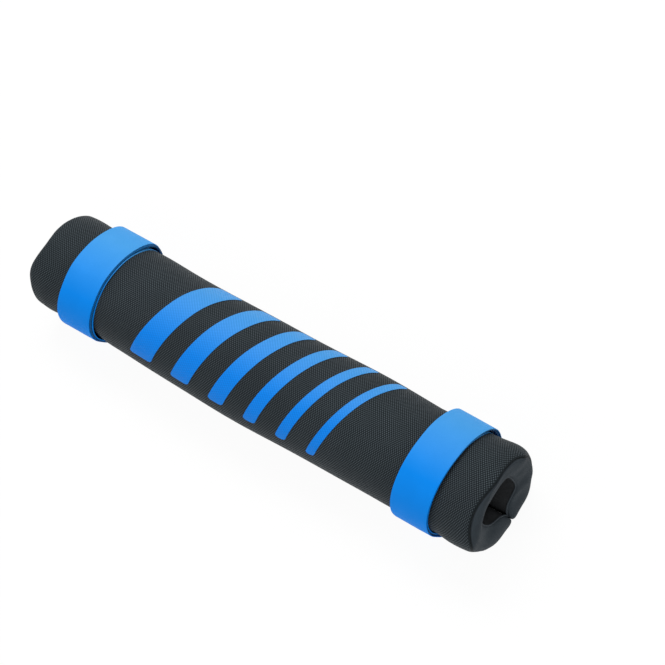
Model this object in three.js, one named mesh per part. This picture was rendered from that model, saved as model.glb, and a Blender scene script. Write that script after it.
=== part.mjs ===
// Roof rack pad: a slit foam sleeve in a sewn cover, held shut round a roof bar by two wrap straps.
// Millimetres, +Z up. The pad lies along X, slit down, and rests on its two straps.
import * as THREE from 'three';
import { mergeVertices } from 'three/addons/utils/BufferGeometryUtils.js';

// Pad, as sewn. Heights in the section are measured from its widest line.
const seamLength = 484;        // end seam to end seam
const coverWidth = 93;
const crownHeight = 41;
const baseDepth = 39;
const baseFlat = 40;           // width of the flat underside
const slitGap = 1.5;
const lipRadius = 8;           // the foam's edges along the slit
const endTaper = 1;            // how far each side draws in at an end seam
const taperLength = 30;
const endRoll = 6.5;           // radius of the soft roll round each end

// Hollow for the roof bar: round above, narrowing to the slit between two full lips.
const boreWidth = 44;
const boreCrown = 23;
const boreFlat = 16;           // width of its flat top
const boreSide = 5;            // height of its own widest line
const throatDepth = 24;        // from the section's widest line down to the slit
const lipRise = 16;            // how far up a lip stays steep, as a curve handle
const sideDrop = 19;           // how far down the hollow's side stays steep, likewise

// Sewn layers.
const fabricThickness = 1.2;
const layerGap = 0.3;          // clearance between pieces that lie on each other

// Wrap straps: one strip each, wound twice over itself.
const strapWidth = 38;
const strapThickness = 1.4;
const hookGap = 0.8;           // the hooks that hold one turn off the other
const nearStrapInset = 37;     // end seam to strap edge
const farStrapInset = 32;
const tailLift = 4.5;          // how far the loose end stands off
const tailStretch = 62;        // length of strip that stands off

// Printed bars over the crown, widest first.
const barCount = 6;
const barWidth = 24;
const barShrink = 0.82;        // each bar's width as a share of the one before
const barGap = 22;
const barSlant = 40;           // how far along X a bar leans over its length
const filmThickness = 0.4;

// Facets.
const sideSteps = 9;           // per quarter of the outside
const boreSteps = 6;           // per quarter of the hollow
const throatSteps = 9;         // per side of the hollow below that
const lipSteps = 4;
const rollSteps = 3;
const taperSteps = 3;
const barStart = 2;            // facets left bare at each end of a bar
const stripStart = 7;          // facets below the +Y side where a strap's strip starts
const stripEnd = 2;            // facets below the +Y side where its loose end is

const coverCloth = new THREE.MeshStandardMaterial({ color: 0x2c3135, roughness: 0.8, metalness: 0 });
const plainCloth = new THREE.MeshStandardMaterial({ color: 0x363b41, roughness: 0.7, metalness: 0 });
const liningCloth = new THREE.MeshStandardMaterial({ color: 0x1b1d1f, roughness: 0.85, metalness: 0 });
const foam = new THREE.MeshStandardMaterial({ color: 0x55585a, roughness: 0.95, metalness: 0 });
const strapWeb = new THREE.MeshStandardMaterial({ color: 0x1484e6, roughness: 0.65, metalness: 0 });
const printInk = new THREE.MeshStandardMaterial({ color: 0x1484e6, roughness: 0.55, metalness: 0 });

const seamHalf = seamLength / 2;
const sideHalf = coverWidth / 2;
const slitHalf = slitGap / 2;
const lip = Math.min(lipRadius, (baseDepth - throatDepth) * 0.6);
const roll = Math.min(endRoll, lip - layerGap);

// Section outlines: lists of points [y, z], counter-clockwise seen from +X.
function arc(centreY, centreZ, radiusY, radiusZ, from, to, steps) {
  const curve = new THREE.EllipseCurve(centreY, centreZ, radiusY, radiusZ, from, to, to < from);
  return curve.getPoints(steps).map((point) => [point.x, point.y]);
}

function joinPaths(...paths) {
  const joined = [];
  for (const point of paths.flat()) {
    const last = joined[joined.length - 1];
    if (!last || Math.hypot(point[0] - last[0], point[1] - last[1]) > 1e-6) joined.push(point);
  }
  return joined;
}

const quarter = Math.PI / 2;

// The outside of the cover from one slit face, over the crown, to the other slit face.
function coverPath() {
  const corner = slitHalf + lip;
  const baseHalf = baseFlat / 2;
  const cornerWidth = sideHalf - baseHalf;
  return joinPaths(
    [[slitHalf, -throatDepth]],
    arc(corner, -baseDepth + lip, lip, lip, 2 * quarter, 3 * quarter, lipSteps),
    arc(baseHalf, 0, cornerWidth, baseDepth, 3 * quarter, 4 * quarter, sideSteps),
    arc(0, 0, sideHalf, crownHeight, 0, 2 * quarter, 2 * sideSteps),
    arc(-baseHalf, 0, cornerWidth, baseDepth, 2 * quarter, 3 * quarter, sideSteps),
    arc(-corner, -baseDepth + lip, lip, lip, 3 * quarter, 4 * quarter, lipSteps),
    [[-slitHalf, -throatDepth]],
  );
}

// The hollow's side from the slit up to its widest line.
function throat(side) {
  const curve = new THREE.CubicBezierCurve(
    new THREE.Vector2(side * slitHalf, -throatDepth),
    new THREE.Vector2(side * slitHalf, lipRise - throatDepth),
    new THREE.Vector2(side * boreWidth / 2, boreSide - sideDrop),
    new THREE.Vector2(side * boreWidth / 2, boreSide),
  );
  return curve.getPoints(throatSteps).map((point) => [point.x, point.y]);
}

// The hollow's wall from one lip, round the bar, to the other lip.
function liningPath() {
  const topHalf = boreFlat / 2;
  const cornerWidth = boreWidth / 2 - topHalf;
  const rise = boreCrown - boreSide;
  return joinPaths(
    throat(-1),
    arc(-topHalf, boreSide, cornerWidth, rise, 2 * quarter, quarter, boreSteps),
    arc(topHalf, boreSide, cornerWidth, rise, quarter, 0, boreSteps),
    throat(1).reverse(),
  );
}

// The outside with no slit, as a strap sees it. It starts at the +Y side.
function wrapOutline() {
  const baseHalf = baseFlat / 2;
  const cornerWidth = sideHalf - baseHalf;
  const outline = joinPaths(
    arc(0, 0, sideHalf, crownHeight, 0, 2 * quarter, 2 * sideSteps),
    arc(-baseHalf, 0, cornerWidth, baseDepth, 2 * quarter, 3 * quarter, sideSteps),
    arc(baseHalf, 0, cornerWidth, baseDepth, 3 * quarter, 4 * quarter, sideSteps),
  );
  outline.pop();
  return outline;
}

// Where a closed outline's corner moves when every side moves outward by one.
function cornerShift(outline, index) {
  const count = outline.length;
  const before = outline[(index + count - 1) % count];
  const here = outline[index % count];
  const after = outline[(index + 1) % count];
  const first = new THREE.Vector2(here[1] - before[1], before[0] - here[0]).normalize();
  const second = new THREE.Vector2(after[1] - here[1], here[0] - after[0]).normalize();
  const shift = first.clone().add(second).normalize();
  return shift.divideScalar(Math.max(shift.dot(first), 0.5));
}

function offsetOutline(outline, distance) {
  return outline.map((point, index) => {
    const shift = cornerShift(outline, index);
    return [point[0] + shift.x * distance, point[1] + shift.y * distance];
  });
}

// The whole section is the cover's path closed by the lining's.
const coverPoints = coverPath();
const liningPoints = liningPath();
const sectionOutline = joinPaths(coverPoints, liningPoints);
sectionOutline.pop();

function sectionAt(depth) {
  return offsetOutline(sectionOutline, -depth);
}

// The ends draw in along a parabola to the seams.
function drawIn(x) {
  const intoTaper = Math.max(0, Math.abs(x) - (seamHalf - taperLength)) / taperLength;
  return 1 - (endTaper / sideHalf) * Math.min(1, intoTaper) ** 2;
}

function ringAt(points, x) {
  const scale = drawIn(x);
  return points.map(([y, z]) => new THREE.Vector3(x, y * scale, z * scale));
}

function stations(half) {
  const ends = [];
  for (let step = 0; step <= taperSteps; step += 1) {
    ends.push(seamHalf - taperLength + ((half - seamHalf + taperLength) * step) / taperSteps);
  }
  return [...ends.map((x) => -x).reverse(), ...ends];
}

// A solid through a row of like rings. The faces, in corner numbers, close both of its ends.
function solidThrough(rings, faces) {
  const count = rings[0].length;
  const last = (rings.length - 1) * count;
  const index = [];
  for (const [a, b, c] of faces) {
    index.push(a, c, b);
    index.push(last + a, last + b, last + c);
  }
  for (let ring = 0; ring < rings.length - 1; ring += 1) {
    for (let i = 0; i < count; i += 1) {
      const a = ring * count + i;
      const b = ring * count + ((i + 1) % count);
      index.push(a, b, a + count, b, b + count, a + count);
    }
  }
  const geometry = new THREE.BufferGeometry().setFromPoints(rings.flat());
  geometry.setIndex(index);
  geometry.computeVertexNormals();
  return geometry;
}

// A solid through sections that lie across X.
function loft(rings) {
  const flat = rings[0].map((point) => new THREE.Vector2(point.y, point.z));
  return solidThrough(rings, THREE.ShapeUtils.triangulateShape(flat, []));
}

function addPiece(group, name, geometry, material) {
  const mesh = new THREE.Mesh(mergeVertices(geometry), material);
  mesh.name = name;
  group.add(mesh);
}

// A sheet of cloth on part of the section: its outer face, then its inner face back.
function clothSection(start, count) {
  const outer = sectionAt(0);
  const inner = sectionAt(fabricThickness);
  const pick = (points) => Array.from({ length: count }, (_, i) => points[(start + i) % points.length]);
  return [...pick(outer), ...pick(inner).reverse()];
}

// Draws the two edges of an open path back so that neighbours at a seam keep their clearance.
function trimEnds(points, count) {
  const trimmed = points.map((point) => [...point]);
  const pull = (edge, towards) => {
    const length = Math.hypot(points[towards][0] - points[edge][0], points[towards][1] - points[edge][1]);
    const share = layerGap / 2 / length;
    trimmed[edge] = [
      points[edge][0] + (points[towards][0] - points[edge][0]) * share,
      points[edge][1] + (points[towards][1] - points[edge][1]) * share,
    ];
  };
  pull(0, 1);
  pull(count - 1, count - 2);
  pull(count, count + 1);
  pull(2 * count - 1, 2 * count - 2);
  return trimmed;
}

function addCover(group) {
  const count = coverPoints.length;
  const section = trimEnds(clothSection(0, count), count);
  const rings = stations(seamHalf - layerGap / 2).map((x) => ringAt(section, x));
  addPiece(group, 'outer_cover', loft(rings), coverCloth);
}

function addLining(group) {
  const count = liningPoints.length;
  const section = trimEnds(clothSection(coverPoints.length - 1, count), count);
  const rings = stations(seamHalf - layerGap / 2).map((x) => ringAt(section, x));
  addPiece(group, 'inner_lining', loft(rings), liningCloth);
}

// Rings of a rounded end, from its flat face out to its seam. Depth is the layer's own.
function rollRings(depth, seamX, side) {
  const rings = [];
  for (let step = rollSteps; step >= 0; step -= 1) {
    const turn = (quarter * step) / rollSteps;
    const radius = roll - depth;
    const x = seamX + radius * Math.sin(turn);
    rings.push(ringAt(sectionAt(roll - radius * Math.cos(turn)), side * x));
  }
  return rings;
}

function addEndGusset(group, name, side) {
  const seamX = seamHalf + layerGap / 2;
  const outside = rollRings(0, seamX, side);
  const inside = rollRings(fabricThickness, seamX, side).reverse();
  const rings = [...outside, ...inside];
  addPiece(group, name, loft(side > 0 ? rings.reverse() : rings), plainCloth);
}

function addFoam(group) {
  const depth = fabricThickness + layerGap;
  const near = rollRings(depth, seamHalf, 1).reverse();
  const far = rollRings(depth, seamHalf, -1);
  const body = stations(seamHalf).slice(1, -1).map((x) => ringAt(sectionAt(depth), x));
  addPiece(group, 'foam_core', loft([...far, ...body, ...near]), foam);
}

// A strap's strip, wound clockwise seen from +X. It starts low on the +Y side, where its second
// turn climbs on to the first, and its loose end stands off higher on that side.
function strapSection() {
  const outline = wrapOutline();
  const count = outline.length;
  const steps = 2 * count - (stripStart - stripEnd);
  const places = Array.from({ length: steps + 1 }, (_, step) => (3 * count - stripStart - step) % count);
  const toEnd = places.map(() => 0);
  for (let step = steps - 1; step >= 0; step -= 1) {
    const [y, z] = outline[places[step]];
    const [nextY, nextZ] = outline[places[step + 1]];
    toEnd[step] = toEnd[step + 1] + Math.hypot(nextY - y, nextZ - z);
  }
  const inner = [];
  const outer = [];
  places.forEach((place, step) => {
    const shift = cornerShift(outline, place);
    const climbed = THREE.MathUtils.smoothstep(step, count - (stripStart - stripEnd), count - 1);
    const loose = 1 - THREE.MathUtils.smoothstep(toEnd[step], 0, tailStretch);
    const lift = layerGap + (strapThickness + hookGap) * climbed + tailLift * loose;
    const [y, z] = outline[place];
    inner.push([y + shift.x * lift, z + shift.y * lift]);
    outer.push([y + shift.x * (lift + strapThickness), z + shift.y * (lift + strapThickness)]);
  });
  return [...inner, ...outer.reverse()];
}

function addStrap(group, name, centreX) {
  const section = strapSection();
  const ring = (x) => section.map(([y, z]) => new THREE.Vector3(x, y, z));
  addPiece(group, name, loft([ring(centreX - strapWidth / 2), ring(centreX + strapWidth / 2)]), strapWeb);
}

// Printed bars lie on the crown's facets and lean along the pad.
function addBars(group) {
  const outline = wrapOutline();
  const last = 2 * sideSteps - barStart;
  const widths = Array.from({ length: barCount }, (_, i) => barWidth * barShrink ** i);
  const total = widths.reduce((sum, width) => sum + width, 0) + barGap * (barCount - 1);
  let left = -total / 2;
  widths.forEach((width, bar) => {
    const rings = [];
    for (let step = barStart; step <= last; step += 1) {
      const shift = cornerShift(outline, step);
      const lean = barSlant * ((step - barStart) / (last - barStart) - 0.5);
      const corner = (x, lift) => {
        const [y, z] = outline[step];
        return new THREE.Vector3(x - lean, y + shift.x * lift, z + shift.y * lift);
      };
      const low = layerGap;
      const high = layerGap + filmThickness;
      const right = left + width;
      rings.push([corner(left, low), corner(right, low), corner(right, high), corner(left, high)]);
    }
    addPiece(group, `print_bar_${bar + 1}`, solidThrough(rings, [[0, 1, 2], [0, 2, 3]]), printInk);
    left += width + barGap;
  });
}

const pad = new THREE.Group();
addCover(pad);
addLining(pad);
addEndGusset(pad, 'end_gusset_near', 1);
addEndGusset(pad, 'end_gusset_far', -1);
addFoam(pad);
addStrap(pad, 'strap_near', seamHalf - nearStrapInset - strapWidth / 2);
addStrap(pad, 'strap_far', -seamHalf + farStrapInset + strapWidth / 2);
addBars(pad);

// The origin is the middle of the surface that the pad rests on.
const box = new THREE.Box3().setFromObject(pad);
const middle = box.getCenter(new THREE.Vector3());
pad.position.set(-middle.x, -middle.y, -box.min.z);

export default pad;
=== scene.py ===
import math
from bisect import bisect_right

import bmesh
import bpy
from mathutils import Matrix, Vector, noise


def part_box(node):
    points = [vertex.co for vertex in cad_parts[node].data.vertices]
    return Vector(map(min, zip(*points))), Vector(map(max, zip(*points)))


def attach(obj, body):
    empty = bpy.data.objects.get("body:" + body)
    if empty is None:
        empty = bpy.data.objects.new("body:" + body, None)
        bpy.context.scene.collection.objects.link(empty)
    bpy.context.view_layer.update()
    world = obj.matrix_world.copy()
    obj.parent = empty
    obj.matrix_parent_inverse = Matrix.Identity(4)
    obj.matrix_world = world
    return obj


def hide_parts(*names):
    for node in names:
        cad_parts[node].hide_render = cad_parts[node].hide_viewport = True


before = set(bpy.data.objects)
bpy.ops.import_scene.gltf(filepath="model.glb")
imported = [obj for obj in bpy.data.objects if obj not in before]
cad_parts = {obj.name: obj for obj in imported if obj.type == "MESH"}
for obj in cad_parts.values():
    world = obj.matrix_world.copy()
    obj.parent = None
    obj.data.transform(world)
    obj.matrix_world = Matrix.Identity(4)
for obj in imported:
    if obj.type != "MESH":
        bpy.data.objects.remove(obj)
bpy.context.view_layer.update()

MM = 0.001


# Outer cover: one panel of coarse woven cloth, cut flat and wrapped round the foam.
# It runs from one face of the slit, over the crown, to the other, and is sewn to the
# lining inside the slit and to a gusset at each end.
cover_low, cover_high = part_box("outer_cover")
crown_height = 41 * MM
base_flat = 40 * MM
slit_half = 0.2 * MM
lip_radius = 8 * MM
throat_depth = 24 * MM
end_taper = 0.8 * MM
taper_length = 30 * MM
cloth_thickness = 1.1 * MM
side_half = (cover_high.y - cover_low.y) / 2
base_depth = cover_high.z - cover_low.z - crown_height
middle_y = (cover_low.y + cover_high.y) / 2
middle_z = cover_high.z - crown_height
seam_gap = 0.15 * MM       # half of the room between two cloths at an end seam
seam_half = cover_high.x + seam_gap
seam_room = 0.1 * MM       # how far each cloth ends before the seam's middle
weld_reach = 0.01 * MM     # points nearer than this are one
sharp_edge = math.radians(50)

arc_steps = 48
around_steps = 216
length_steps = 150
end_crowding = 0.82        # 0 spaces the rows evenly, 1 crowds them at the end seams


def arc(centre, radii, start, end):
    """Points on part of an ellipse in the pad's section, angles in degrees."""
    points = []
    for step in range(arc_steps + 1):
        angle = math.radians(start + (end - start) * step / arc_steps)
        points.append(Vector((centre[0] + radii[0] * math.cos(angle),
                              centre[1] + radii[1] * math.sin(angle))))
    return points


def mirrored(points):
    """The same line on the pad's other side, in the order that carries it on."""
    return [Vector((-point.x, point.y)) for point in reversed(points)]


same_place = 1e-7          # metres, where one arc of a line ends and the next starts


class Route:
    """A line round the pad's section, followed by its length."""

    def __init__(self, points, out_side):
        self.points = [points[0]]
        for point in points[1:]:
            if (point - self.points[-1]).length > same_place:
                self.points.append(point)
        self.reach = [0.0]
        for before, after in zip(self.points, self.points[1:]):
            self.reach.append(self.reach[-1] + (after - before).length)
        self.length = self.reach[-1]
        self.out_side = out_side

    def at(self, distance):
        distance = min(max(distance, 0.0), self.length)
        index = min(bisect_right(self.reach, distance), len(self.points) - 1)
        before, after = self.points[index - 1], self.points[index]
        step = self.reach[index] - self.reach[index - 1]
        return before.lerp(after, (distance - self.reach[index - 1]) / step)

    def out(self, distance, blur=2.5 * MM):
        """The outward direction, softened over a short stretch."""
        run = self.at(distance + blur) - self.at(distance - blur)
        return Vector((run.y, -run.x)).normalized() * self.out_side


lip_centre = slit_half + lip_radius
base_half = base_flat / 2
lower_radii = (side_half - base_half, base_depth)
cover_side = [Vector((slit_half, -throat_depth))]
cover_side += arc((lip_centre, -base_depth + lip_radius), (lip_radius, lip_radius), 180, 270)
cover_side += arc((base_half, 0), lower_radii, 270, 360)
cover_side += arc((0, 0), (side_half, crown_height), 0, 90)
cover_route = Route(cover_side + mirrored(cover_side), 1)
slit_share = (base_depth - lip_radius - throat_depth) / cover_route.length


def smooth(value, low, high):
    """A soft step, 0 at low and 1 at high."""
    share = min(max((value - low) / (high - low), 0.0), 1.0)
    return share * share * (3 - 2 * share)


def hump(value, centre, reach):
    """A soft hump, 1 at its centre and next to nothing from twice its reach on."""
    return math.exp(-((value - centre) / reach) ** 2)


def from_lip(share):
    """How far round a place lies from the nearer lip, as a share of the cloth's width."""
    return min(share, 1 - share)


strap_boxes = {side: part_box("strap_" + side) for side in ("near", "far")}
strap_width = strap_boxes["near"][1].x - strap_boxes["near"][0].x
strap_middles = {side: (low.x + high.x) / 2 for side, (low, high) in strap_boxes.items()}

# Where the foam stands out or is pressed in: place along, its reach, place round (as a share
# of the cover's width from the +Y lip), its reach, and how far out.
swells = [
    (238 * MM, 34 * MM, 0.27, 0.13, 5.0 * MM),
    (238 * MM, 16 * MM, 0.30, 0.07, 1.5 * MM),
    (240 * MM, 30 * MM, 0.69, 0.05, 1.8 * MM),
    (242 * MM, 24 * MM, 0.76, 0.04, -0.8 * MM),
    (242 * MM, 24 * MM, 0.835, 0.05, -2.6 * MM),
    (209 * MM, 10 * MM, 0.80, 0.07, -1.6 * MM),
    (-170 * MM, 10 * MM, 0.80, 0.07, -1.6 * MM),
    (242 * MM, 26 * MM, 0.180, 0.045, -2.5 * MM),
    (226 * MM, 16 * MM, 0.50, 0.20, 0.8 * MM),
    (-228 * MM, 30 * MM, 0.27, 0.13, 2.3 * MM),
    (-236 * MM, 22 * MM, 0.50, 0.10, 1.0 * MM),
    (-236 * MM, 22 * MM, 0.75, 0.07, -2.4 * MM),
    (-150 * MM, 30 * MM, 0.27, 0.12, 1.8 * MM),
    (-160 * MM, 50 * MM, 0.73, 0.10, -2.0 * MM),
    (-15 * MM, 65 * MM, 0.74, 0.12, 2.4 * MM),
    (100 * MM, 70 * MM, 0.27, 0.14, 2.2 * MM),
    (-60 * MM, 90 * MM, 0.36, 0.10, 0.6 * MM),
]

# Where the seam at an end lies past square: place round, reach and how far along the pad.
seam_drift = {
    1: [(0.27, 0.05, 1.5 * MM), (0.335, 0.022, 2.4 * MM), (0.38, 0.07, 0.9 * MM), (0.475, 0.05, 2.7 * MM),
        (0.58, 0.04, -1.0 * MM), (0.69, 0.04, 4.4 * MM)],
    -1: [(0.34, 0.09, -2.4 * MM), (0.50, 0.05, -1.4 * MM), (0.60, 0.05, 2.6 * MM)],
}
drift_reach = 26 * MM

# At the far end the cover rolls over the foam's edge, so that its seam lies on the end face.
roll_radius = 7 * MM
roll_turn = math.radians(75)
roll_start = seam_half + 1.4 * MM
roll_flat = seam_half - roll_radius * roll_turn
roll_zone = 0.1            # from the lips to here, round the cover, the roll comes in

# The foam's edges give way at the near end, so the hollow reaches lower there.
mouth_drop = 5.5 * MM
mouth_reach = 34 * MM

# Under a strap the foam is pressed in all round and drawn in at the base. On the two sides it
# gives outwards by these, first on the +Y side and then on the -Y side.
strap_ease = {"near": (1.6 * MM, 0.0), "far": (0.3 * MM, -1.8 * MM)}
plus_flank = (0.45, 0.2)
minus_flank = (0.55, 0.8)
flanks = (0.27, 0.73)      # the middles of the two sides, round the cover
strap_press = 0.7 * MM
press_fade = 16 * MM
press_margin = 3 * MM
base_give = 1.3 * MM
base_zone = (0.16, 0.11)

# The cloth lies in slow waves, puckers towards the end seams and sinks into them. The near
# seam sits deeper on the +Y side: place, reach and how deep.
wave_height = 0.8 * MM
wave_along = 11
wave_around = 1.6
pucker_height = 0.45 * MM
pucker_reach = 13 * MM
pucker_around = 26
pucker_along = 40
pucker_seed = 7.3
seam_pinch = 1.6 * MM
seam_pinch_reach = 1.1 * MM
seam_dip = 0.9 * MM
seam_dip_reach = 6 * MM
flank_pinch = (0.27, 0.075, 4.0 * MM)
lip_zone = (0.02, 0.085)   # the lips stay plain up to the first, and are free past the second


def eased(side, leftness):
    """How far a strap's foam gives outwards, from the +Y side, 0, to the -Y side, 1."""
    plus, minus = strap_ease[side]
    return plus * smooth(leftness, *plus_flank) + minus * smooth(leftness, *minus_flank)


def swell(x, share):
    """How far the cover stands out of its plain section."""
    height = 0.0
    for place, place_reach, turn, turn_reach, rise in swells:
        height += rise * hump(x, place, place_reach) * hump(share, turn, turn_reach)
    for side, middle in strap_middles.items():
        held = smooth(abs(x - middle), strap_width / 2 + press_fade, strap_width / 2 - press_margin)
        height += (eased(side, smooth(share, *flanks)) - strap_press) * held
        height -= base_give * smooth(from_lip(share), *base_zone) * held
    turned = share * math.tau
    height += wave_height * noise.noise(Vector((x * wave_along, math.cos(turned) * wave_around,
                                                math.sin(turned) * wave_around)))
    to_seam = seam_half - abs(x)
    pucker = noise.noise(Vector((share * pucker_around, x * pucker_along, pucker_seed)))
    height += pucker_height * pucker * math.exp(-to_seam / pucker_reach)
    height -= (seam_pinch * math.exp(-to_seam / seam_pinch_reach)
               + seam_dip * math.exp(-to_seam / seam_dip_reach))
    if x > 0:
        turn, reach, depth = flank_pinch
        height -= depth * hump(share, turn, reach) * math.exp(-to_seam / seam_dip_reach)
    return height * smooth(from_lip(share), *lip_zone)


def taper(x):
    """How much of its plain width and height the section keeps towards an end."""
    into = max(0.0, abs(x) - (seam_half - taper_length)) / taper_length
    return 1 - end_taper / side_half * min(1.0, into) ** 2


def near_the_mouth(x):
    """1 at the near mouth, and less the further into the pad."""
    return math.exp(-max(0.0, seam_half - x) / mouth_reach)


def drift(x, share):
    """How far the cloth is pulled along the pad by the seam at its end."""
    side = 1 if x > 0 else -1
    reach = math.exp(-max(0.0, seam_half - abs(x)) / drift_reach)
    return side * reach * sum(far * hump(share, turn, spread) for turn, spread, far in seam_drift[side])


def placed(x, point):
    """A point of the section at its place in the pad."""
    scale = taper(x)
    return Vector((x, middle_y + point.x * scale, middle_z + point.y * scale))


def rolled(x, rise):
    """Carries a point over the far end's roll: its place along the pad and how far out it stands."""
    if x >= 0:
        return x, rise
    if -x <= roll_flat:
        return x * roll_start / roll_flat, rise
    turn = (-x - roll_flat) / roll_radius
    outside = roll_radius + rise
    return -roll_start - outside * math.sin(turn), outside * math.cos(turn) - roll_radius


def cover_point(x, share, lift=0.0):
    """A point of the cover's outer face: its place along the pad and, as a share, round it."""
    distance = share * cover_route.length
    clear = smooth(from_lip(share), 0.0, roll_zone)
    rise = swell(x, share) + lift
    rolled_x, rolled_rise = rolled(x, rise)
    point = cover_route.at(distance) + cover_route.out(distance) * (rise + (rolled_rise - rise) * clear)
    in_slit = 1 - smooth(from_lip(share), 0.0, slit_share)
    point.y -= mouth_drop * near_the_mouth(x) * in_slit
    return placed(x + (rolled_x - x) * clear + drift(x, share), point)


def put_in_scene(name, data):
    """Puts a mesh, lamp or camera into the scene, at the origin."""
    made = bpy.data.objects.new(name, data)
    bpy.context.scene.collection.objects.link(made)
    return made


def panel(name, segments, flat, place, crowding=0.0):
    """A panel cut to a flat size, as a grid, and laid where place(across, along) says."""
    cloth = bmesh.new()
    bmesh.ops.create_grid(cloth, x_segments=segments[0], y_segments=segments[1], size=0.5)
    for vertex in cloth.verts:
        along = vertex.co.y + 0.5
        along -= crowding * math.sin(math.tau * along) / math.tau
        vertex.co = Vector((vertex.co.x + 0.5, along, 0))
    weave_map = cloth.loops.layers.uv.new("cloth")
    for face in cloth.faces:
        for corner in face.loops:
            corner[weave_map].uv = (corner.vert.co.x * flat[0], corner.vert.co.y * flat[1])
    for vertex in cloth.verts:
        vertex.co = place(vertex.co.x, vertex.co.y)
    bmesh.ops.remove_doubles(cloth, verts=cloth.verts, dist=weld_reach)
    mesh = bpy.data.meshes.new(name)
    cloth.to_mesh(mesh)
    cloth.free()
    return put_in_scene(name, mesh)


def face_out(piece, towards):
    """Turns a panel over if most of it looks away from where towards(centre) points."""
    if sum(face.area * face.normal.dot(towards(face.center)) for face in piece.data.polygons) < 0:
        piece.data.flip_normals()


def thicken(piece, thickness, rim_round=0.0):
    """Gives a panel its thickness, inwards, and closes its edges."""
    wall = piece.modifiers.new("thickness", "SOLIDIFY")
    wall.thickness = thickness
    wall.offset = -1
    if rim_round:
        edge = piece.modifiers.new("edge", "BEVEL")
        edge.width = rim_round
        edge.segments = 2
        edge.limit_method = "ANGLE"
    graph = bpy.context.evaluated_depsgraph_get()
    finished = bpy.data.meshes.new_from_object(piece.evaluated_get(graph))
    piece.modifiers.clear()
    piece.data = finished
    finished.name = piece.name
    finished.polygons.foreach_set("use_smooth", [True] * len(finished.polygons))
    finished.set_sharp_from_angle(angle=sharp_edge)


def from_axis(centre):
    return Vector((0, centre.y - middle_y, centre.z - middle_z))


def cover_place(across, along):
    return cover_point((2 * along - 1) * (seam_half - seam_room), across)


cover_flat = (cover_route.length, seam_half + roll_start + roll_radius * roll_turn)
cover = panel("cover_panel", (around_steps, length_steps), cover_flat, cover_place, end_crowding)
face_out(cover, from_axis)
thicken(cover, cloth_thickness)


def feed(tree, socket, value):
    """Links a socket to another one, or sets it to a plain value."""
    if isinstance(value, bpy.types.NodeSocket):
        tree.links.new(value, socket)
    elif socket.type == "RGBA" and len(value) == 3:
        socket.default_value = (*value, 1)
    else:
        socket.default_value = value


def add_node(tree, kind, inputs=None, **settings):
    """A node with its settings made first and then its sockets fed."""
    made = tree.nodes.new(kind)
    for name, value in settings.items():
        setattr(made, name, value)
    for key, value in (inputs or {}).items():
        feed(tree, made.inputs[key], value)
    return made


def calculate(tree, operation, first, second=0.0):
    return add_node(tree, "ShaderNodeMath", {0: first, 1: second}, operation=operation).outputs[0]


def remap(tree, value, low, high, to_low=0.0, to_high=1.0):
    inputs = {"Value": value, "From Min": low, "From Max": high, "To Min": to_low, "To Max": to_high}
    return add_node(tree, "ShaderNodeMapRange", inputs).outputs[0]


def mix_colours(tree, share, first, second):
    return add_node(tree, "ShaderNodeMix", {0: share, 6: first, 7: second}, data_type="RGBA").outputs[2]


def new_group(name, inputs, outputs):
    """A shader node group, with the sockets that come into it and those that lead out."""
    group = bpy.data.node_groups.new(name, "ShaderNodeTree")
    for socket, kind, default in inputs:
        made = group.interface.new_socket(socket, in_out="INPUT", socket_type=kind)
        if default is not None:
            made.default_value = default
    for socket in outputs:
        group.interface.new_socket(socket, in_out="OUTPUT", socket_type="NodeSocketFloat")
    entry = group.nodes.new("NodeGroupInput")
    leave = group.nodes.new("NodeGroupOutput")
    return group, entry.outputs, leave.inputs


def new_material(name):
    """A material, its node tree, and the sockets of its shader."""
    material = bpy.data.materials.new(name)
    material.use_nodes = True
    tree = material.node_tree
    return material, tree, tree.nodes["Principled BSDF"].inputs


def set_sockets(shader, values):
    for name, value in values.items():
        shader[name].default_value = value


# Plain weave: lengthwise and crosswise yarns go over and under each other by turns.
over_edge = (-0.1, 0.3)    # of the crossing yarns' waves, where a yarn comes out on top
yarn_roundness = 0.6
weave_group, weave_in, weave_out = new_group(
    "plain_weave",
    [("Cloth", "NodeSocketVector", None), ("Pitch across", "NodeSocketFloat", 1.0),
     ("Pitch along", "NodeSocketFloat", 1.0), ("Sway", "NodeSocketFloat", 0.0)],
    ["Over", "Height"],
)
sway_noise = add_node(weave_group, "ShaderNodeTexNoise",
                      {"Vector": weave_in["Cloth"], "Scale": 60.0, "Detail": 1.0})
sway_size = add_node(weave_group, "ShaderNodeVectorMath",
                     {0: sway_noise.outputs["Color"], 3: weave_in["Sway"]}, operation="SCALE")
swayed = add_node(weave_group, "ShaderNodeVectorMath",
                  {0: weave_in["Cloth"], 1: sway_size.outputs[0]}, operation="ADD")
yarns = add_node(weave_group, "ShaderNodeSeparateXYZ", {0: swayed.outputs[0]})
turns = []
for axis, pitch in enumerate(("Pitch across", "Pitch along")):
    counted = calculate(weave_group, "DIVIDE", yarns.outputs[axis], weave_in[pitch])
    turns.append(calculate(weave_group, "SINE", calculate(weave_group, "MULTIPLY", counted, math.pi)))
crossing = calculate(weave_group, "MULTIPLY", turns[0], turns[1])
weave_group.links.new(remap(weave_group, crossing, *over_edge), weave_out["Over"])
rise = calculate(weave_group, "POWER", calculate(weave_group, "ABSOLUTE", crossing), yarn_roundness)
weave_group.links.new(rise, weave_out["Height"])


def cloth_map(tree):
    return add_node(tree, "ShaderNodeUVMap", uv_map="cloth").outputs[0]


def add_group(tree, group, inputs):
    return add_node(tree, "ShaderNodeGroup", inputs, node_tree=group)


def bump(tree, height, distance, strength=1.0):
    inputs = {"Height": height, "Distance": distance, "Strength": strength}
    return add_node(tree, "ShaderNodeBump", inputs).outputs[0]


crease_half = 0.3 * MM


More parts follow.
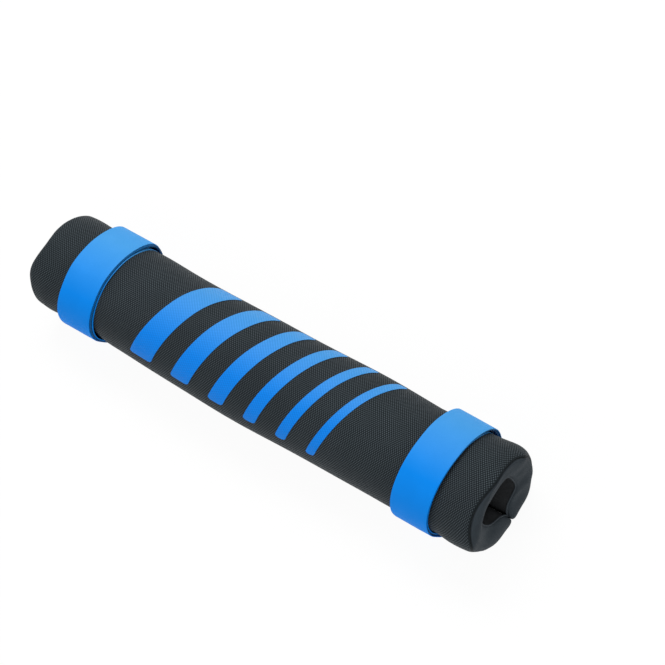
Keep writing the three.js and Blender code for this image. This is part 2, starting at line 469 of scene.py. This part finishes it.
def painted_crease_shade(tree, cloth, length, reach):
    """Painted shade: 0 in the creases along the cloth's first and last edge, 1 from the reach of each on.
    """
    along = add_node(tree, "ShaderNodeSeparateXYZ", {0: cloth}).outputs[1]
    first = remap(tree, along, crease_half, reach[0])
    last = remap(tree, calculate(tree, "SUBTRACT", length, along), crease_half, reach[1])
    return calculate(tree, "MINIMUM", first, last)


cover_pitch = {"Pitch across": 1.5 * MM, "Pitch along": 1.1 * MM, "Sway": 0.2 * MM}
cover_dark = (0.0065, 0.0088, 0.0102)
# The light tone is a painted glint on the yarn tops.
cover_glint_tone = (0.068, 0.083, 0.095)
cover_crease_shade_reach = (1.5 * MM, 1.5 * MM)
cover_weave_depth = 0.22 * MM
noise_span = (0.3, 0.7)    # most of a noise texture's values lie between these
cover_material, tree, shader = new_material("coarse_cover_cloth")
cloth = cloth_map(tree)
woven = add_group(tree, weave_group, {"Cloth": cloth, **cover_pitch})
slow = add_node(tree, "ShaderNodeTexNoise",
                {"Vector": cloth, "Scale": 14.0, "Detail": 3.0, "Roughness": 0.6})
# Painted glint: the weave's pattern is its own, but the tops of the yarns that lie over are painted
# lighter, unevenly, as a painted highlight.
painted_glint = calculate(tree, "MULTIPLY", woven.outputs["Over"], woven.outputs["Height"])
painted_glint = calculate(tree, "MULTIPLY", painted_glint, remap(tree, slow.outputs[0], *noise_span, 0.65, 1.0))
# Painted shade: towards the end seams the cover fades to its dark tone, as shade in the creases.
painted_seam_shade = painted_crease_shade(tree, cloth, cover_flat[1], cover_crease_shade_reach)
tree.links.new(mix_colours(tree, calculate(tree, "MULTIPLY", painted_glint, painted_seam_shade), cover_dark, cover_glint_tone),
               shader["Base Color"])
tree.links.new(remap(tree, woven.outputs["Over"], 0, 1, 0.72, 0.5), shader["Roughness"])
tree.links.new(bump(tree, woven.outputs["Height"], cover_weave_depth), shader["Normal"])
set_sockets(shader, {"Sheen Weight": 0.02, "Sheen Roughness": 0.4, "Sheen Tint": (0.7, 0.85, 1.0, 1),
                     "Specular IOR Level": 0.17, "Specular Tint": (0.72, 0.9, 1.0, 1)})
cover.data.materials.append(cover_material)
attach(cover, "root")
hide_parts("outer_cover")


# Inner lining: a thin dark panel round the hollow for the bar, from lip to lip.
# It is sewn to the cover in the slit and to the gussets round each mouth.
bore_half = 22 * MM
bore_crown = 23 * MM
bore_flat_half = 8 * MM
bore_side = 5 * MM
lip_rise = 16 * MM
side_drop = 19 * MM
lining_rows = 110
lining_thickness = 0.8 * MM
lip_drop_reach = 0.07      # how far round from the lips the mouth's drop is felt
lining_lip_zone = (0.02, 0.12)
crease_height = 0.7 * MM
crease_along = 22
crease_around = 7
crease_seed = 2.1


def throat_curve(steps=60):
    """One side of the hollow, from the slit up to its widest line."""
    ends = [Vector((slit_half, -throat_depth)), Vector((slit_half, lip_rise - throat_depth)),
            Vector((bore_half, bore_side - side_drop)), Vector((bore_half, bore_side))]
    points = []
    for step in range(steps + 1):
        t = step / steps
        weights = ((1 - t) ** 3, 3 * t * (1 - t) ** 2, 3 * t * t * (1 - t), t ** 3)
        points.append(sum((end * weight for end, weight in zip(ends, weights)), Vector((0, 0))))
    return points


lining_side = throat_curve()
lining_side += arc((bore_flat_half, bore_side), (bore_half - bore_flat_half, bore_crown - bore_side), 0, 90)
lining_route = Route(lining_side + mirrored(lining_side), -1)

# How the near mouth is pulled out of its plain shape: place round the lining, reach, then Y and Z.
mouth_pulls = [
    (0.11, 0.04, -1.0 * MM, 0.4 * MM),
    (0.26, 0.09, 1.4 * MM, -4.4 * MM),
    (0.355, 0.05, 2.0 * MM, 1.0 * MM),
    (0.42, 0.12, 0.5 * MM, 3.0 * MM),
    (0.60, 0.12, -0.5 * MM, 3.0 * MM),
    (0.70, 0.06, -1.6 * MM, 2.4 * MM),
    (0.79, 0.05, 0.6 * MM, 0.3 * MM),
]


def lining_point(x, share, lift=0.0):
    """A point of the lining's face on the hollow's side, as cover_point gives one of the cover."""
    distance = share * lining_route.length
    point = lining_route.at(distance)
    near = near_the_mouth(x)
    for place, reach, pull_y, pull_z in mouth_pulls:
        point = point + Vector((pull_y, pull_z)) * near * hump(share, place, reach)
    point.y -= mouth_drop * near * (hump(share, 0, lip_drop_reach) + hump(share, 1, lip_drop_reach))
    clear_of_slit = smooth(from_lip(share), *lining_lip_zone)
    crease = crease_height * noise.noise(Vector((x * crease_along, share * crease_around, crease_seed)))
    return placed(x, point + lining_route.out(distance) * (crease * clear_of_slit + lift))


def lining_place(across, along):
    return lining_point((2 * along - 1) * (seam_half - seam_room), across)


def to_hollow(centre):
    return Vector((0, middle_y - centre.y, middle_z + bore_side - centre.z))


lining_flat = (lining_route.length, 2 * seam_half)
lining = panel("lining_panel", (around_steps, lining_rows), lining_flat, lining_place, end_crowding)
face_out(lining, to_hollow)
thicken(lining, lining_thickness)

lining_material, tree, shader = new_material("lining_cloth")
lining_weave = {"Pitch across": 0.9 * MM, "Pitch along": 0.9 * MM, "Sway": 0.2 * MM}
lining_dark = (0.012, 0.0135, 0.015)
lining_light = (0.03, 0.034, 0.038)
lining_weave_depth = 0.12 * MM
woven = add_group(tree, weave_group, {"Cloth": cloth_map(tree), **lining_weave})
tree.links.new(mix_colours(tree, woven.outputs["Height"], lining_dark, lining_light), shader["Base Color"])
tree.links.new(bump(tree, woven.outputs["Height"], lining_weave_depth), shader["Normal"])
set_sockets(shader, {"Roughness": 0.75})
lining.data.materials.append(lining_material)
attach(lining, "root")
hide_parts("inner_lining")


# End gussets: a C-shaped panel of smoother cloth rolls over the foam at each end, with a
# sunk seam to the cover outside and a narrow bound seam to the lining round the mouth.
end_bulge = {1: 4.2 * MM, -1: 1.6 * MM}
arch_power = 2.1           # 2 is a plain arch from seam to seam, more is squarer
wall_for_full_bulge = 15 * MM
gusset_rows = 36
# The near gusset lies flatter at one corner: place round, reach, and how much of the roll is lost.
flat_corner = (0.27, 0.08, 0.25)
# Ripples of the gussets: height, how many round and across, and a seed for the two ends.
gusset_wave = (0.8 * MM, 13, 2.2, 4.7)
gusset_pucker = (0.35 * MM, 46, 2.5, 9.1)
gusset_flat = (cover_route.length, 36 * MM)

# Soft dents and fulls of each end: place round, reach, place across, reach, out along the pad.
end_dents = {1: [
    (0.79, 0.05, 0.72, 0.22, -2.2 * MM),
    (0.90, 0.04, 0.50, 0.25, 1.0 * MM),
    (0.135, 0.035, 0.62, 0.20, -2.0 * MM),
    (0.235, 0.03, 0.62, 0.25, -1.6 * MM),
    (0.315, 0.025, 0.68, 0.25, -1.2 * MM),
    (0.07, 0.035, 0.50, 0.25, 1.0 * MM),
    (0.40, 0.06, 0.40, 0.30, -1.0 * MM),
    (0.67, 0.08, 0.45, 0.35, 1.6 * MM),
    (0.455, 0.06, 0.50, 0.45, -1.4 * MM),
], -1: [
    (0.30, 0.06, 0.55, 0.25, -1.6 * MM),
    (0.47, 0.07, 0.45, 0.40, -1.2 * MM),
    (0.600, 0.025, 0.40, 0.40, 1.8 * MM),
    (0.68, 0.03, 0.35, 0.35, -1.6 * MM),
    (0.86, 0.04, 0.60, 0.25, -1.6 * MM),
]}


def ripple(kind, share, across, side):
    """The height of a gusset's wave or pucker at a place."""
    height, around, over, seed = kind
    return height * noise.noise(Vector((share * around, across * over, side * seed)))


def gusset_point(side, share, across, inset=0.0):
    """A point of an end's roll: across goes from the cover's seam, 0, to the lining's, 1."""
    x = side * (seam_half + seam_room)
    outer = cover_point(x, share, -inset)
    inner = lining_point(x, share, -inset)
    wall = (inner - outer).length
    full = min(1.0, wall / wall_for_full_bulge)
    bulge = (end_bulge[side] - inset) * math.sqrt(max(0.0, 1 - (1 - full) ** 2))
    if side > 0:
        place, reach, flatness = flat_corner
        bulge *= 1 - flatness * hump(share, place, reach)
    turn = math.pi * across
    ride_in = (1 - math.copysign(abs(math.cos(turn)) ** (2 / arch_power), math.cos(turn))) / 2
    ride_out = math.sin(turn) ** (2 / arch_power)
    point = outer.lerp(inner, ride_in)
    # The cover's seam isn't square: this much of its drift is left at a place across the roll.
    if side > 0:
        kept = (1 - ride_in) ** 3
    else:
        kept = math.sqrt(max(0.0, 1 - ride_in ** 2))
    point.x = inner.x + (outer.x - inner.x) * kept + side * bulge * ride_out
    push = sum(rise * hump(share, place, reach) * hump(across, middle, spread)
               for place, reach, middle, spread, rise in end_dents[side])
    push += ripple(gusset_wave, share, across, side)
    push += ripple(gusset_pucker, share, across, side) * smooth(across, 0.5, 1.0)
    return point + Vector((side * push * ride_out * full, 0, 0))


plain_material, tree, shader = new_material("plain_gusset_cloth")
cloth = cloth_map(tree)
plain_weave = {"Pitch across": 0.45 * MM, "Pitch along": 0.45 * MM, "Sway": 0.1 * MM}
plain_dark = (0.005, 0.006, 0.007)
plain_light = (0.0335, 0.042, 0.050)
plain_weave_depth = 0.05 * MM
gusset_crease_shade_reach = (4.5 * MM, 1.8 * MM)
woven = add_group(tree, weave_group, {"Cloth": cloth, **plain_weave})
slow = add_node(tree, "ShaderNodeTexNoise",
                {"Vector": cloth, "Scale": 30.0, "Detail": 4.0, "Roughness": 0.6})
# Painted shade: the gusset darkens along its two seams, as shade in the creases; its tone also varies a
# little at random.
tone = calculate(tree, "MULTIPLY", remap(tree, slow.outputs[0], *noise_span, 0.75, 1.0),
                 painted_crease_shade(tree, cloth, gusset_flat[1], gusset_crease_shade_reach))
tree.links.new(mix_colours(tree, tone, plain_dark, plain_light), shader["Base Color"])
tree.links.new(bump(tree, woven.outputs["Height"], plain_weave_depth), shader["Normal"])
set_sockets(shader, {"Roughness": 0.62, "Sheen Weight": 0.01, "Sheen Roughness": 0.35,
                     "Sheen Tint": (0.7, 0.8, 1.0, 1), "Specular IOR Level": 0.1,
                     "Specular Tint": (0.7, 0.9, 1.0, 1)})

binding_material, tree, shader = new_material("mouth_binding_cloth")
binding_dark = (0.030, 0.037, 0.044)
binding_light = (0.056, 0.069, 0.081)
woven = add_group(tree, weave_group, {"Cloth": cloth_map(tree), **plain_weave})
tree.links.new(mix_colours(tree, woven.outputs["Over"], binding_dark, binding_light), shader["Base Color"])
set_sockets(shader, {"Roughness": 0.62, "Specular IOR Level": 0.1})

binding_radius = 0.8 * MM
binding_sides = 10
binding_width = 5 * MM     # of the strip that it is rolled from
binding_stand = 0.3 * MM   # how far its middle lies outside the end seam
binding_lift = 0.6         # and off the lining, as a share of its radius
binding_fade = 0.012       # it thins out to nothing this far round from the lips


def binding_point(side, share, around):
    """A point on the narrow roll of cloth over the seam between gusset and lining."""
    turned = math.tau * around
    full = smooth(from_lip(share), 0.0, binding_fade)
    lift = binding_radius * (binding_lift + math.sin(turned))
    point = lining_point(side * (seam_half + binding_stand), share, lift * full)
    return point + Vector((side * binding_radius * math.cos(turned) * full, 0, 0))


for end, side in (("near", 1), ("far", -1)):
    gusset = panel("gusset_panel_" + end, (around_steps, gusset_rows), gusset_flat,
                   lambda across, along: gusset_point(side, across, along))
    face_out(gusset, lambda centre: Vector((side, 0, 0)))
    thicken(gusset, cloth_thickness)
    binding = panel("mouth_binding_" + end, (around_steps, binding_sides),
                    (lining_route.length, binding_width),
                    lambda across, along: binding_point(side, across, along))
    face_out(binding, lambda centre: Vector((side, 0, 0)))
    for piece, material in ((gusset, plain_material), (binding, binding_material)):
        piece.data.materials.append(material)
        piece.data.polygons.foreach_set("use_smooth", [True] * len(piece.data.polygons))
        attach(piece, "root")
    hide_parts("end_gusset_" + end)


# Foam core: one length of closed-cell foam, sealed in the cloth on every side.
# It gives the sleeve its wall and its round ends.
foam_inset = 1.5 * MM
foam_around = 108
foam_rows = 70
foam_end_rows = 14
foam_weld = 0.2 * MM       # joins the edges of its four faces
foam_dark = (0.06, 0.065, 0.067)
foam_light = (0.1, 0.11, 0.11)
cell_depth = 0.2 * MM


def foam_body(point):
    """Lays one long face of the foam just inside the cloth that point gives."""
    def place(across, along):
        return point((2 * along - 1) * seam_half, across, -foam_inset)
    return place


def foam_end(side):
    return lambda across, along: gusset_point(side, across, along, foam_inset)


def join_closed(name, pieces):
    """Joins panels that share their edges into one closed body."""
    body = bmesh.new()
    for piece in pieces:
        body.from_mesh(piece.data)
        bpy.data.objects.remove(piece)
    bmesh.ops.remove_doubles(body, verts=body.verts, dist=foam_weld)
    bmesh.ops.recalc_face_normals(body, faces=body.faces)
    mesh = bpy.data.meshes.new(name)
    body.to_mesh(mesh)
    body.free()
    mesh.polygons.foreach_set("use_smooth", [True] * len(mesh.polygons))
    return put_in_scene(name, mesh)


foam = join_closed("foam_sleeve", [
    panel("foam_outside", (foam_around, foam_rows), (1, 1), foam_body(cover_point)),
    panel("foam_hollow", (foam_around, foam_rows), (1, 1), foam_body(lining_point)),
    panel("foam_end_near", (foam_around, foam_end_rows), (1, 1), foam_end(1)),
    panel("foam_end_far", (foam_around, foam_end_rows), (1, 1), foam_end(-1)),
])

foam_material, tree, shader = new_material("closed_cell_foam")
place = add_node(tree, "ShaderNodeTexCoord").outputs["Object"]
cells = add_node(tree, "ShaderNodeTexVoronoi", {"Vector": place, "Scale": 900.0})
tree.links.new(mix_colours(tree, cells.outputs["Distance"], foam_dark, foam_light), shader["Base Color"])
tree.links.new(bump(tree, cells.outputs["Distance"], cell_depth), shader["Normal"])
set_sockets(shader, {"Roughness": 0.9})
foam.data.materials.append(foam_material)
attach(foam, "root")
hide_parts("foam_core")


# Wrap straps: each is one strip of hook-and-loop, wound twice round the pad. The loop side
# is bright and faces out. The hooks of the second turn grip the first and hold it shut.
strap_thickness = 0.9 * MM
strap_gap = 0.4 * MM
strap_edge_round = 0.25 * MM
hook_height = 1.6 * MM
hook_gap = 0.05 * MM
hook_side_margin = 0.8 * MM
hook_end_margin = 1.5 * MM
strap_steps = 420
strap_across = 14
start_angle = -70          # where the strip starts, and where it ends on its second turn
end_angle = -20
climb_margin = 6 * MM      # it has climbed over its own start this long before a full turn

wrap_route = Route(
    list(reversed(arc((base_half, 0), lower_radii, 270, 360)))
    + arc((-base_half, 0), lower_radii, 270, 180)
    + list(reversed(arc((0, 0), (side_half, crown_height), 0, 180))), -1)
strap_start = Route(arc((base_half, 0), lower_radii, 0, start_angle), 1).length
strap_stop = Route(arc((base_half, 0), lower_radii, 0, end_angle), 1).length
strap_length = 2 * wrap_route.length - (strap_start - strap_stop)
climb_start = wrap_route.length - (strap_start - strap_stop)
climb_end = wrap_route.length - climb_margin

# Each strap's lean along the pad, how far the first turn's edge lies from the second's, how far
# it bows along the pad on the crown, how much more of the first turn shows on the +Y side and
# the -Y side, and the stretch near the loose end that stands off: how far, how long before the
# end, and its reach.
strap_forms = {
    "near": {"skew": 0.034, "inner_shift": -0.6 * MM, "bow": 1.0 * MM, "flare": (0.0, 0.0),
             "stand_off": 2.6 * MM, "before_end": 24 * MM, "reach": 20 * MM, "seed": 3.0},
    "far": {"skew": 0.045, "inner_shift": 1.8 * MM, "bow": 1.9 * MM, "flare": (1.0 * MM, 0.6 * MM),
            "stand_off": 2.6 * MM, "before_end": 26 * MM, "reach": 18 * MM, "seed": 11.0},
}
flare_zone = (0.35, 0.95)  # of the pad's half width

# The edge nearer to the pad's near end turns in, low on the -Y side: how far, from where to
# where of the half width, of the depth below the middle, and of the strap's width.
strap_tuck = 1.4 * MM
tuck_side = (0.4, 0.7)
tuck_low = (0.1, 0.5)
tuck_edge = (0.15, 0.5)
base_edge = (0.93, 0.995)  # the part of the depth where the base draws the strap in

# The strap's own waves, out from the pad and along it: height, how many along and across.
strap_wave = (0.25 * MM, 18, 20)
strap_sway = (0.35 * MM, 14)


def inner_edge(end, sideways):
    """How far the first turn's edge lies from the second's, at a place across the pad."""
    form = strap_forms[end]
    plus, minus = form["flare"]
    return (form["inner_shift"] + plus * smooth(sideways, *flare_zone)
            + minus * smooth(-sideways, *flare_zone))


def strap_point(end, distance, offset, lift=0.0, over_inner=False):
    """A point of a strap's outer face: distance along the strip, offset across it."""
    form, middle = strap_forms[end], strap_middles[end]
    around = (strap_start + distance) % wrap_route.length
    climbed = smooth(distance, climb_start, climb_end)
    height = strap_gap + strap_thickness + (strap_thickness + hook_height) * climbed
    height += form["stand_off"] * hump(strap_length - distance, form["before_end"], form["reach"])
    plain = wrap_route.at(around)
    height += eased(end, (1 - plain.x / side_half) / 2)
    depth = -plain.y / base_depth
    low_down = smooth(-plain.x / side_half, *tuck_side) * smooth(depth, *tuck_low)
    height -= strap_tuck * low_down * smooth(offset / strap_width, *tuck_edge)
    height -= base_give * smooth(depth, *base_edge)
    wave, along, across = strap_wave
    height += wave * noise.noise(Vector((distance * along, form["seed"], offset * across)))
    point = plain + wrap_out(around) * (height + lift)
    sideways, along = strap_sway
    sway = sideways * noise.noise(Vector((distance * along, form["seed"], 0)))
    follows = 1.0 if over_inner else 1 - climbed
    x = middle + offset + sway + inner_edge(end, point.x / side_half) * follows
    x += form["skew"] * point.x + form["bow"] * max(0.0, point.y / crown_height)
    return Vector((x, middle_y + point.x, middle_z + point.y))


def wrap_out(around):
    """The outward direction on the way round the pad, softened over a short stretch."""
    blur = 3 * MM
    length = wrap_route.length
    run = wrap_route.at((around + blur) % length) - wrap_route.at((around - blur) % length)
    return Vector((-run.y, run.x)).normalized()


def strap_strip(name, end, first, last, width, lift, steps, over_inner=False):
    """The length of a strap's strip from first to last, or the layer of hooks under it."""
    def place(across, along):
        distance = first + (last - first) * along
        return strap_point(end, distance, (across - 0.5) * width, lift, over_inner)

    return panel(name, (strap_across, steps), (width, last - first), place)


# Painted light: the pile and the ink are painted paler on the +Y side, as a painted highlight where the key
# lamp's light falls. The change lies a little aslant, from the first of these to the second across the pad.
lit_side_start = -24 * MM
lit_side_end = 36 * MM
lit_side_lean = 0.022
painted_light_group, painted_light_in, painted_light_out = new_group("painted_light_side", [("Place", "NodeSocketVector", None)], ["Paler"])
sides = add_node(painted_light_group, "ShaderNodeSeparateXYZ", {0: painted_light_in["Place"]})
leaned = calculate(painted_light_group, "MULTIPLY", sides.outputs[0], lit_side_lean)
aslant = calculate(painted_light_group, "SUBTRACT", sides.outputs[1], leaned)
painted_light_group.links.new(remap(painted_light_group, aslant, middle_y + lit_side_start, middle_y + lit_side_end),
                      painted_light_out["Paler"])


def painted_light_share(tree):
    """The share of the painted highlight on the piece, by its place."""
    place = add_node(tree, "ShaderNodeTexCoord").outputs["Object"]
    return add_group(tree, painted_light_group, {"Place": place}).outputs[0]


# The pile's own deep blue, and a paler, greyer blue for its painted highlight on the +Y side.
loop_deep = ((0.0005, 0.19, 0.67), (0.001, 0.22, 0.76))
loop_painted_lit = ((0.043, 0.265, 0.605), (0.063, 0.305, 0.685))
# The hooks' own blue, darkened to a navy that paints in the shade of the gap between the two turns.
hook_tones_painted_shade = ((0.004, 0.05, 0.12), (0.004, 0.11, 0.33))
hook_lean = math.radians(24)
pile_depth = 0.1 * MM
hook_depth = 0.3 * MM

loop_material, tree, shader = new_material("strap_loop_pile")
cloth = cloth_map(tree)
pile = add_node(tree, "ShaderNodeTexNoise", {"Vector": cloth, "Scale": 1500.0, "Detail": 2.0})
soft = add_node(tree, "ShaderNodeTexNoise", {"Vector": cloth, "Scale": 45.0, "Detail": 3.0})
tone = calculate(tree, "ADD", calculate(tree, "MULTIPLY", pile.outputs[0], 0.6),
                 calculate(tree, "MULTIPLY", soft.outputs[0], 0.4))
deep = mix_colours(tree, remap(tree, tone, *noise_span), *loop_deep)
painted_lit = mix_colours(tree, remap(tree, tone, *noise_span), *loop_painted_lit)
tree.links.new(mix_colours(tree, painted_light_share(tree), deep, painted_lit), shader["Base Color"])
tree.links.new(bump(tree, pile.outputs[0], pile_depth, 0.5), shader["Normal"])
set_sockets(shader, {"Roughness": 0.55, "Specular IOR Level": 0.06})

hook_material, tree, shader = new_material("strap_hooks")
cloth = cloth_map(tree)
tilted = add_node(tree, "ShaderNodeMapping", {"Vector": cloth, "Rotation": (0, 0, hook_lean)})
rows = add_node(tree, "ShaderNodeTexWave", {"Vector": tilted.outputs[0], "Scale": 210.0, "Distortion": 3.0,
                                            "Detail": 2.0, "Detail Scale": 2.0}, bands_direction="Y")
tree.links.new(mix_colours(tree, rows.outputs["Fac"], *hook_tones_painted_shade), shader["Base Color"])
tree.links.new(bump(tree, rows.outputs["Fac"], hook_depth), shader["Normal"])
set_sockets(shader, {"Roughness": 0.6, "Specular IOR Level": 0.1})

for end in ("near", "far"):
    strip = strap_strip("strap_strip_" + end, end, 0.0, strap_length, strap_width, 0.0, strap_steps)
    face_out(strip, from_axis)
    thicken(strip, strap_thickness, strap_edge_round)
    strip.data.materials.append(loop_material)
    hooks = strap_strip("strap_hooks_" + end, end, climb_end, strap_length - hook_end_margin,
                        strap_width - 2 * hook_side_margin, -strap_thickness - hook_gap,
                        strap_steps // 2, over_inner=True)
    face_out(hooks, from_axis)
    thicken(hooks, hook_height)
    hooks.data.materials.append(hook_material)
    for piece in (strip, hooks):
        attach(piece, "root")
    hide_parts("strap_" + end)


# Printed bars: six fields of thin blue ink on the crown, each narrower than the one before,
# pressed into the weave so that it shows through a little.
bar_count = 6
bar_lean = 40 * MM
ink_thickness = 0.16 * MM
ink_stand = 0.2 * MM       # how far the ink lies over the cloth
# The ink's own deep blue, and a paler blue for its painted highlight on the +Y side.
ink_deep = ((0.0005, 0.17, 0.64), (0.001, 0.21, 0.76))
ink_painted_lit = ((0.045, 0.25, 0.58), (0.065, 0.30, 0.68))
ink_depth = 0.1 * MM       # of the weave that shows through
bar_corner = 3.2 * MM
bar_first_angle = 20       # of the section, from its +Y side, and as far up from its -Y side
bar_segments = (12, 120)

ink_material, tree, shader = new_material("printed_ink")
woven = add_group(tree, weave_group, {"Cloth": cloth_map(tree), **cover_pitch})
deep = mix_colours(tree, woven.outputs["Over"], *ink_deep)
painted_lit = mix_colours(tree, woven.outputs["Over"], *ink_painted_lit)
tree.links.new(mix_colours(tree, painted_light_share(tree), deep, painted_lit), shader["Base Color"])
tree.links.new(bump(tree, woven.outputs["Height"], ink_depth), shader["Normal"])
set_sockets(shader, {"Roughness": 0.45, "Specular IOR Level": 0.1})

crown_reach = Route(arc((0, 0), (side_half, crown_height), 90, bar_first_angle), 1).length
crown_start = cover_route.length / 2 - crown_reach
crown_end = cover_route.length - crown_start

for bar in range(bar_count):
    node = "print_bar_%d" % (bar + 1)
    low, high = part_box(node)
    width = high.x - low.x - bar_lean

    def bar_place(across, along):
        distance = crown_start + (crown_end - crown_start) * along
        to_end = min(distance - crown_start, crown_end - distance)
        rounding = bar_corner - math.sqrt(max(0.0, bar_corner ** 2 - max(0.0, bar_corner - to_end) ** 2))
        half = width / 2 - rounding
        lean = bar_lean * (along - 0.5)
        x = (low.x + high.x) / 2 - lean + (2 * across - 1) * half
        return cover_point(x, distance / cover_route.length, ink_stand + ink_thickness)

    film = panel("ink_bar_%d" % (bar + 1), bar_segments, (width, crown_end - crown_start), bar_place)
    face_out(film, from_axis)
    thicken(film, ink_thickness)
    film.data.materials.append(ink_material)
    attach(film, "root")
    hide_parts(node)


# Floor: a pale ground that the pad lies on. It shows white to the camera and in reflections,
# and keeps a faint shadow of the pad.
floor_size = 6.0
floor_pale = (0.9, 0.9, 0.9, 1)
white = (1, 1, 1, 1)
white_share = 0.94         # the rest of what is seen is the lit floor, with the shadow
ground = bmesh.new()
bmesh.ops.create_grid(ground, x_segments=1, y_segments=1, size=floor_size)
floor_mesh = bpy.data.meshes.new("floor")
ground.to_mesh(floor_mesh)
ground.free()
floor = put_in_scene("floor", floor_mesh)
floor_material = bpy.data.materials.new("pale_floor")
floor_material.use_nodes = True
tree = floor_material.node_tree
tree.nodes.clear()
matt = add_node(tree, "ShaderNodeBsdfDiffuse", {"Color": floor_pale})
glow = add_node(tree, "ShaderNodeEmission", {"Color": white, "Strength": 1.0})
seen = add_node(tree, "ShaderNodeLightPath")
shown = calculate(tree, "MAXIMUM", seen.outputs["Is Camera Ray"], seen.outputs["Is Glossy Ray"])
whitened = calculate(tree, "MULTIPLY", shown, white_share)
blended = add_node(tree, "ShaderNodeMixShader", {0: whitened, 1: matt.outputs[0], 2: glow.outputs[0]})
add_node(tree, "ShaderNodeOutputMaterial", {"Surface": blended.outputs[0]})
floor.data.materials.append(floor_material)


# Light: a bright soft room with three large lamps. The strongest stands over the +Y side, and
# two weaker ones on the -Y side, of which one is out past the near end.
room_strength = 0.5
world = bpy.data.worlds.new("room")
world.use_nodes = True
tree = world.node_tree
tree.nodes.clear()
room = add_node(tree, "ShaderNodeBackground", {"Color": white, "Strength": room_strength})
backdrop = add_node(tree, "ShaderNodeBackground", {"Color": white, "Strength": 1.0})
seen = add_node(tree, "ShaderNodeLightPath")
blended = add_node(tree, "ShaderNodeMixShader", {0: seen.outputs["Is Camera Ray"], 1: room.outputs[0],
                                                 2: backdrop.outputs[0]})
add_node(tree, "ShaderNodeOutputWorld", {"Surface": blended.outputs[0]})
bpy.context.scene.world = world


def add_lamp(name, place, size, power):
    """A rectangular lamp that faces the pad: its place and size in metres, its power in watts."""
    lamp = bpy.data.lights.new(name, "AREA")
    lamp.shape = "RECTANGLE"
    lamp.size, lamp.size_y = size
    lamp.energy = power
    holder = put_in_scene(name, lamp)
    holder.location = place
    holder.rotation_euler = Vector(place).to_track_quat("Z", "Y").to_euler()


add_lamp("key", (-0.45, 1.0, 1.8), (1.4, 0.8), 32)
add_lamp("end_fill", (1.3, -1.1, 1.5), (0.9, 0.9), 7)
add_lamp("side_fill", (-0.1, -1.5, 1.2), (1.6, 0.6), 7)


# Camera: looks down on the pad from above its near end, turned so that the pad lies slantwise.
# It is aimed at the pad's middle, which stands at aim_pixel in the picture.
image_pixels = 665
focal_pixels = 2776.0
aim_pixel = (271.3, 377.15)
view_tilt = math.radians(28.517)
view_side = math.radians(-10.5)
view_roll = math.radians(29.32)
view_distance = 2.401
aim = Vector(((strap_middles["near"] + strap_middles["far"]) / 2, middle_y, middle_z))
back = Vector((math.tan(view_tilt), math.tan(view_side), 1)).normalized()
along_pad = (Vector((1, 0, 0)) - back * back.x).normalized()
across_pad = back.cross(along_pad)
right = math.cos(view_roll) * along_pad + math.sin(view_roll) * across_pad
down = math.sin(view_roll) * along_pad - math.cos(view_roll) * across_pad
level = Matrix((right, -down, back)).transposed()
aim_right, aim_down = ((pixel - image_pixels / 2) / focal_pixels for pixel in aim_pixel)
off_centre = Vector((0, 0, -1)).rotation_difference(Vector((aim_right, -aim_down, -1)).normalized())
camera_data = bpy.data.cameras.new("camera")
camera_data.lens = focal_pixels / image_pixels * camera_data.sensor_width
camera = put_in_scene("camera", camera_data)
turned = level @ off_centre.inverted().to_matrix()
camera.matrix_world = Matrix.Translation(aim + back * view_distance) @ turned.to_4x4()
bpy.context.scene.camera = camera
bpy.context.scene.view_settings.view_transform = "Standard"
